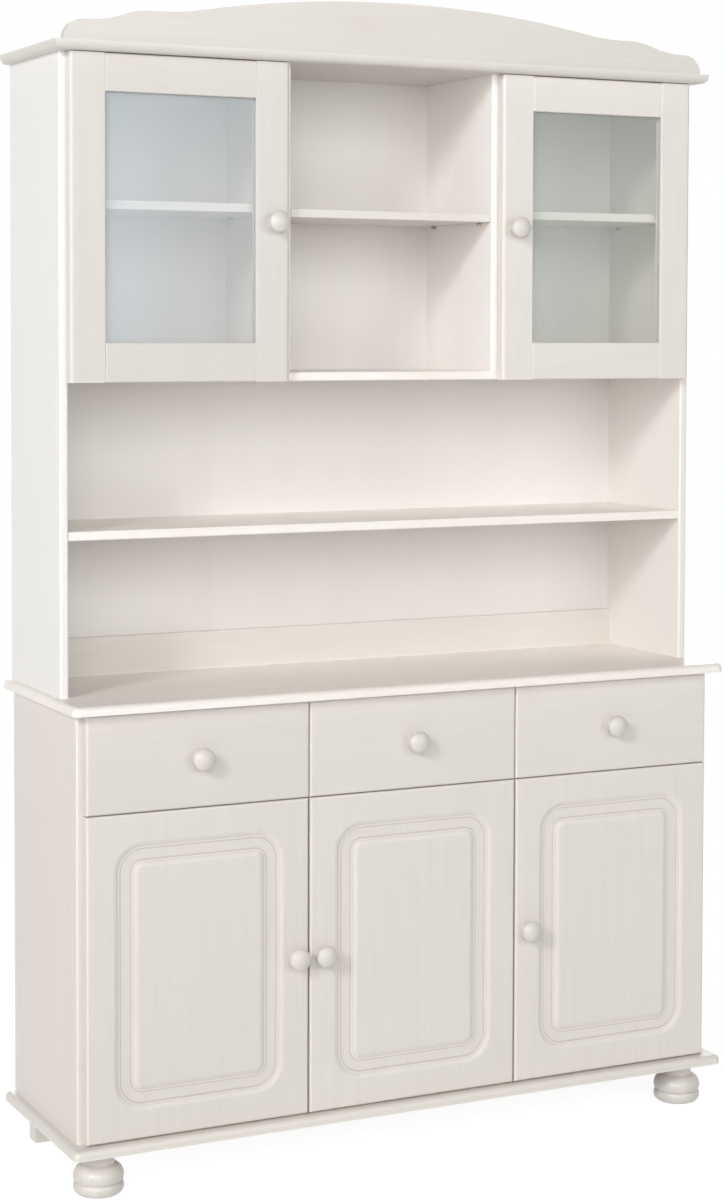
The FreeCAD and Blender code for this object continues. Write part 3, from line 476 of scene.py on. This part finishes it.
def finish_doors():
    """The doors with their panes, knobs and hinges, and the shelf pins."""
    steel = hinge_steel("nickel_hinges", shade(206, 204, 198), "z")
    for seed, door in enumerate(PANEL_DOORS, start=71):
        stained(f"{door}_panel", "z", seed, routed=True)
    for seed, door in enumerate(GLAZED_DOORS, start=75):
        stained(f"{door}_stiles", "z", seed)
        stained(f"{door}_rails", "x", seed + 3)
    # Each pane with its painted reflection
    for side, (near, far, reflection_veil) in PANES.items():
        pane = f"glazed_door_{side}_glass"
        dress(pane, clear_pane(f"{side}_pane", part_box(pane), near, far, reflection_veil))
    for seed, door in enumerate(DOORS, start=81):
        turned_knob(door, seed)
        dress(f"{door}_hinge_cups", steel)
        dress(f"{door}_hinge_links", steel)
    dress("hinge_arms", steel)
    dress("shelf_pins", hinge_steel("nickel_pins", shade(224, 221, 215), "x"))


finish_boards()
finish_drawers()
finish_doors()


class Pattern(Tree):
    """A geometry node tree with named inputs."""

    def __init__(self, name, **inputs):
        group = bpy.data.node_groups.new(name, "GeometryNodeTree")
        super().__init__(group)
        self.sockets = {}
        for way in ("INPUT", "OUTPUT"):
            group.interface.new_socket("Geometry", in_out=way, socket_type="NodeSocketGeometry")
        for label, kind in inputs.items():
            socket = group.interface.new_socket(
                label, in_out="INPUT", socket_type=f"NodeSocket{kind}")
            self.sockets[label] = socket.identifier
        self.source = self.node("NodeGroupInput")

    def given(self, name):
        return self.source.output(name)

    def finish(self, geometry):
        whole = self.node("GeometryNodeRealizeInstances", None, {"Geometry": geometry})
        dressed = self.node("GeometryNodeSetMaterial", None, {
            "Geometry": whole, "Material": self.given("Finish")})
        self.node("NodeGroupOutput", None, {"Geometry": dressed})

    def make(self, name, mesh, body, slot, **values):
        """Runs the tree on a mesh and keeps the result as a plain piece on a body."""
        piece = bpy.data.objects.new(name, mesh)
        scene.collection.objects.link(piece)
        modifier = piece.modifiers.new(name, "NODES")
        modifier.node_group = self.tree
        for label, value in values.items():
            modifier[self.sockets[label]] = value
        evaluated = piece.evaluated_get(bpy.context.evaluated_depsgraph_get())
        result = bpy.data.meshes.new_from_object(evaluated)
        piece.modifiers.clear()
        piece.data = result
        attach(piece, body)


def screw_pattern():
    """Pan-head screws with a cross slot, one at every point, facing the way that the point says."""
    tree = Pattern(
        "pan_head_screws", Diameter="Float", Rise="Float", Slot="Float", Finish="Material",
        Seed="Int")
    diameter, rise, slot = tree.given("Diameter"), tree.given("Rise"), tree.given("Slot")
    head = tree.node("GeometryNodeMeshCone", None, {
        "Vertices": 20, "Radius Top": diameter * 0.34, "Radius Bottom": diameter * 0.5,
        "Depth": rise})
    bars = []
    for length, width in ((diameter * 0.56, slot), (slot, diameter * 0.56)):
        size = tree.node("ShaderNodeCombineXYZ", None, {0: length, 1: width, 2: rise * 1.2})
        bar = tree.node("GeometryNodeMeshCube", None, {"Size": size})
        lift = tree.node("ShaderNodeCombineXYZ", None, {2: rise})
        bars.append(tree.node("GeometryNodeTransform", None, {
            "Geometry": bar, "Translation": lift}))
    cut = tree.node(
        "GeometryNodeMeshBoolean", {"operation": "DIFFERENCE"}, {"Mesh 1": head, "Mesh 2": bars})
    facing = tree.node(
        "GeometryNodeInputNamedAttribute", {"data_type": "FLOAT_VECTOR"}, {"Name": "facing"})
    aim = tree.node("FunctionNodeAlignRotationToVector", {"axis": "Z"}, {"Vector": facing})
    turn = tree.node(
        "FunctionNodeRandomValue", {"data_type": "FLOAT"},
        {3: math.pi, "Seed": tree.given("Seed")}, 1)
    spin = tree.node("ShaderNodeCombineXYZ", None, {2: turn})
    set_by = tree.node("FunctionNodeEulerToRotation", None, {0: spin})
    aimed = tree.node(
        "FunctionNodeRotateRotation", {"rotation_space": "LOCAL"}, {0: aim, 1: set_by})
    tree.finish(tree.node("GeometryNodeInstanceOnPoints", None, {
        "Points": tree.given("Geometry"), "Instance": cut, "Rotation": aimed}))
    return tree


def nail_pattern():
    """Flat nail heads at a pitch along every edge, a little off the line as driven by hand."""
    tree = Pattern(
        "panel_nails", Diameter="Float", Rise="Float", Pitch="Float", Wander="Float",
        Finish="Material", Seed="Int")
    diameter, rise, wander = tree.given("Diameter"), tree.given("Rise"), tree.given("Wander")
    line = tree.node("GeometryNodeMeshToCurve", None, {"Mesh": tree.given("Geometry")})
    rows = tree.node("GeometryNodeResampleCurve", {"mode": "LENGTH"}, {
        "Curve": line, "Length": tree.given("Pitch")})
    stray = tree.node("FunctionNodeRandomValue", {"data_type": "FLOAT_VECTOR"}, {
        0: (-1.0, 0.0, -1.0), 1: (1.0, 0.0, 1.0), "Seed": tree.given("Seed")})
    step = tree.node("ShaderNodeVectorMath", {"operation": "SCALE"}, {0: stray, "Scale": wander})
    driven = tree.node("GeometryNodeSetPosition", None, {"Geometry": rows, "Offset": step})
    head = tree.node("GeometryNodeMeshCone", None, {
        "Vertices": 16, "Radius Top": diameter * 0.42, "Radius Bottom": diameter * 0.5,
        "Depth": rise})
    facing = tree.node("GeometryNodeTransform", None, {
        "Geometry": head, "Rotation": (-math.pi / 2, 0, 0)})
    tree.finish(tree.node("GeometryNodeInstanceOnPoints", None, {
        "Points": driven, "Instance": facing}))
    return tree


def point_mesh(name, points):
    """Loose points, each with the way that it faces."""
    mesh = bpy.data.meshes.new(name)
    mesh.from_pydata([place for place, way in points], [], [])
    facing = mesh.attributes.new("facing", "FLOAT_VECTOR", "POINT")
    for index, (place, way) in enumerate(points):
        facing.data[index].vector = way
    return mesh


# Sizes of the small fasteners, in metres
CUP_SCREW = {"Diameter": 0.0066, "Rise": 0.0012, "Slot": 0.0009}
PLATE_SCREW = {"Diameter": 0.0072, "Rise": 0.0015, "Slot": 0.0010}
KNOB_BOLT = {"Diameter": 0.0086, "Rise": 0.0022, "Slot": 0.0013}
PANEL_NAIL = {"Diameter": 0.0036, "Rise": 0.0003, "Pitch": 0.115, "Wander": 0.0012}
NAIL_INSET = 0.0075

# A hinge cup: its distance from the door's hinged edge, its flange and the flange's screws
CUP_TO_EDGE = 0.005
FLANGE_THICKNESS = 0.001
FLANGE_HALF_HEIGHT = 0.026
FLANGE_SCREW_IN = 0.0225
FLANGE_SCREW_UP = 0.0215
# How far a door laps over the upright that its hinges are screwed to
OVERLAY = {
    "door_left": 0.005, "door_middle": 0.006, "door_right": 0.005,
    "glazed_door_left": 0.0035, "glazed_door_right": 0.0035,
}
# A hinge plate on that upright, its two screws, and the screw that clamps the arm on it
PLATE_THICKNESS = 0.003
PLATE_SCREW_BEHIND = 0.030
PLATE_SCREW_UP = 0.0125
ARM_RISE = 0.010
ARM_SCREW_BEHIND = 0.038


def hinge_places(door):
    """Hand, hinged edge, back face and the two hinge levels of a door, read from its cups."""
    low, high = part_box(f"{door}_hinge_cups")
    hand = 1 if door in LEFT_HUNG else -1
    edge = low.x - CUP_TO_EDGE if hand > 0 else high.x + CUP_TO_EDGE
    levels = (low.z + FLANGE_HALF_HEIGHT, high.z - FLANGE_HALF_HEIGHT)
    return hand, edge, high.y - FLANGE_THICKNESS, levels


def drive_screws():
    """Screws of the hinges, and the bolt behind each knob."""
    screws = screw_pattern()
    steel = hinge_steel("bright_screws", shade(196, 192, 184), "x")

    def drive(name, points, body, size, seed):
        screws.make(name, point_mesh(name, points), body, "steel", Finish=steel, Seed=seed, **size)

    backward = (0, 1, 0)
    plates = []
    for seed, door in enumerate(DOORS, start=1):
        hand, edge, back, levels = hinge_places(door)
        inward = (hand, 0, 0)
        plate = edge + hand * (OVERLAY[door] + PLATE_THICKNESS)
        flange = edge + hand * FLANGE_SCREW_IN
        cups = []
        for level in levels:
            for up in (-FLANGE_SCREW_UP, FLANGE_SCREW_UP):
                cups.append(((flange, back + FLANGE_THICKNESS, level + up), backward))
            for up in (-PLATE_SCREW_UP, PLATE_SCREW_UP):
                plates.append(((plate, back + PLATE_SCREW_BEHIND, level + up), inward))
            plates.append(((plate + hand * ARM_RISE, back + ARM_SCREW_BEHIND, level), inward))
        drive(f"{door}_cup_screws", cups, door, CUP_SCREW, seed)
    drive("hinge_plate_screws", plates, "case", PLATE_SCREW, 11)

    fronts = {drawer: f"{drawer}_front" for drawer in DRAWERS}
    fronts.update({door: f"{door}_panel" for door in PANEL_DOORS})
    fronts.update({door: f"{door}_stiles" for door in GLAZED_DOORS})
    for seed, (body, front) in enumerate(fronts.items(), start=21):
        low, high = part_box(f"{body}_knob")
        place = ((low.x + high.x) / 2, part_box(front)[1].y, (low.z + high.z) / 2)
        drive(f"{body}_knob_bolt", [(place, backward)], body, KNOB_BOLT, seed)


def drive_nails():
    """Nails round both back panels."""
    nails = nail_pattern()
    steel = hinge_steel("dull_nails", shade(170, 168, 164), "x")
    for seed, panel in enumerate(BACKS, start=31):
        low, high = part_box(panel)
        left, right = low.x + NAIL_INSET, high.x - NAIL_INSET
        bottom, top = low.z + NAIL_INSET, high.z - NAIL_INSET
        corners = [(left, bottom), (right, bottom), (right, top), (left, top)]
        mesh = bpy.data.meshes.new(f"{panel}_nails")
        mesh.from_pydata(
            [(x, high.y, z) for x, z in corners], [(0, 1), (1, 2), (2, 3), (3, 0)], [])
        nails.make(f"{panel}_nails", mesh, "case", "steel", Finish=steel, Seed=seed, **PANEL_NAIL)


drive_screws()
drive_nails()

# The photograph's frame, and its viewpoint in pixels, metres and radians
FRAME_WIDTH, FRAME_HEIGHT = 725, 1200
FOCAL_LENGTH = 2462.3
CENTRE_X, CENTRE_Y = 367.9, 437.2
SENSOR = 36.0
STAND = (-1.8865, -3.8000, 1.3852)
HEADING, DIP, ROLL = -0.45777, 0.04422, 0.0028
FAR_CLIP = 100.0


def make_camera():
    """The photograph's viewpoint: left of the middle, above half height, with its framing shift."""
    data = bpy.data.cameras.new("viewpoint")
    data.sensor_width = SENSOR
    data.lens = FOCAL_LENGTH / FRAME_HEIGHT * SENSOR
    data.shift_x = (FRAME_WIDTH / 2 - CENTRE_X) / FRAME_HEIGHT
    data.shift_y = (CENTRE_Y - FRAME_HEIGHT / 2) / FRAME_HEIGHT
    data.clip_end = FAR_CLIP
    camera = bpy.data.objects.new("viewpoint", data)
    turn = (Matrix.Rotation(HEADING, 4, "Z") @ Matrix.Rotation(math.pi / 2 - DIP, 4, "X")
            @ Matrix.Rotation(ROLL, 4, "Z"))
    camera.matrix_world = Matrix.Translation(STAND) @ turn
    scene.collection.objects.link(camera)
    scene.camera = camera


def seen(tree):
    """1 where the camera looks, straight or by way of glass and polish."""
    straight = tree.node("ShaderNodeLightPath", None, None, "Is Camera Ray")
    polish, glass = straight.output("Is Glossy Ray"), straight.output("Is Transmission Ray")
    return straight.math("MAXIMUM", polish).math("MAXIMUM", glass)


WHITE = (1.0, 1.0, 1.0, 1.0)
DOME = (1.0, 0.985, 0.965, 1.0)
DOME_STRENGTH = 0.08
# The floor as it lights the object, and as it is seen: lit paint with a glow, white further off
FLOOR_MATT = 0.86
FLOOR_PALE = 0.30
FLOOR_GLOW = 0.88
FLOOR_FADE = (0.9, 2.6)
FLOOR_REACH = 30.0
# Soft square lamps: name, place, side in metres, watts and colour
LAMPS = (
    ("front", (-2.6, -7.6, 3.1), 4.0, 216.0, (1.0, 1.0, 1.0)),
    ("front_right", (3.2, -7.6, 3.0), 4.0, 132.0, (1.0, 1.0, 1.0)),
    ("side", (-4.6, -0.6, 2.0), 2.0, 42.0, (1.0, 0.99, 0.98)),
    ("corner", (-8.4, -5.8, 5.6), 1.8, 400.0, (1.0, 1.0, 1.0)),
    ("wide_corner", (-5.2, -5.0, 2.6), 4.0, 72.0, (1.0, 0.99, 0.98)),
    ("rear", (3.0, 6.5, 3.2), 4.0, 190.0, (1.0, 1.0, 1.0)),
)
LAMP_AIM = Vector((0.0, 0.0, 0.95))


def white_surround():
    """A faint dome of light that looks white."""
    world = bpy.data.worlds.new("white_surround")
    world.use_nodes = True
    sky = Tree(world.node_tree)
    dome = sky.node("ShaderNodeBackground", None, {"Color": DOME, "Strength": DOME_STRENGTH})
    white = sky.node("ShaderNodeBackground", None, {"Color": WHITE, "Strength": 1.0})
    shown = sky.node("ShaderNodeMixShader", None, {0: seen(sky), 1: dome, 2: white})
    sky.node("ShaderNodeOutputWorld", None, {"Surface": shown})
    scene.world = world


def pale_floor():
    """A floor that keeps a faint shadow round the feet and runs out to white."""
    material = bpy.data.materials.new("pale_floor")
    material.use_nodes = True
    floor = Tree(material.node_tree)
    matt = floor.node("ShaderNodeBsdfDiffuse", None, {"Color": grey(FLOOR_MATT)})
    pale = floor.node("ShaderNodeBsdfDiffuse", None, {"Color": grey(FLOOR_PALE)})
    glow = floor.node("ShaderNodeEmission", None, {"Color": WHITE, "Strength": FLOOR_GLOW})
    white = floor.node("ShaderNodeEmission", None, {"Color": WHITE, "Strength": 1.0})
    lit = floor.node("ShaderNodeAddShader", None, {0: pale, 1: glow})
    place = floor.node("ShaderNodeTexCoord", None, None, "Object")
    far = floor.node("ShaderNodeVectorMath", {"operation": "LENGTH"}, {0: place}, "Value")
    bright = floor.node("ShaderNodeMixShader", None, {0: far.ease(*FLOOR_FADE), 1: lit, 2: white})
    shown = floor.node("ShaderNodeMixShader", None, {0: seen(floor), 1: matt, 2: bright})
    floor.node("ShaderNodeOutputMaterial", None, {"Surface": shown})

    mesh = bpy.data.meshes.new("floor")
    corners = [(-1, -1), (1, -1), (1, 1), (-1, 1)]
    points = [(x * FLOOR_REACH, y * FLOOR_REACH, 0) for x, y in corners]
    mesh.from_pydata(points, [], [(0, 1, 2, 3)])
    mesh.materials.append(material)
    ground = bpy.data.objects.new("floor", mesh)
    scene.collection.objects.link(ground)


def hang_lamps():
    """Soft lamps, most of their light from the front left."""
    for name, place, size, power, colour in LAMPS:
        data = bpy.data.lights.new(name, "AREA")
        data.size = size
        data.energy = power
        data.color = colour
        lamp = bpy.data.objects.new(name, data)
        lamp.location = place
        lamp.rotation_mode = "QUATERNION"
        lamp.rotation_quaternion = (LAMP_AIM - Vector(place)).to_track_quat("-Z", "Y")
        scene.collection.objects.link(lamp)


scene.view_settings.view_transform = "Standard"
make_camera()
white_surround()
pale_floor()
hang_lamps()
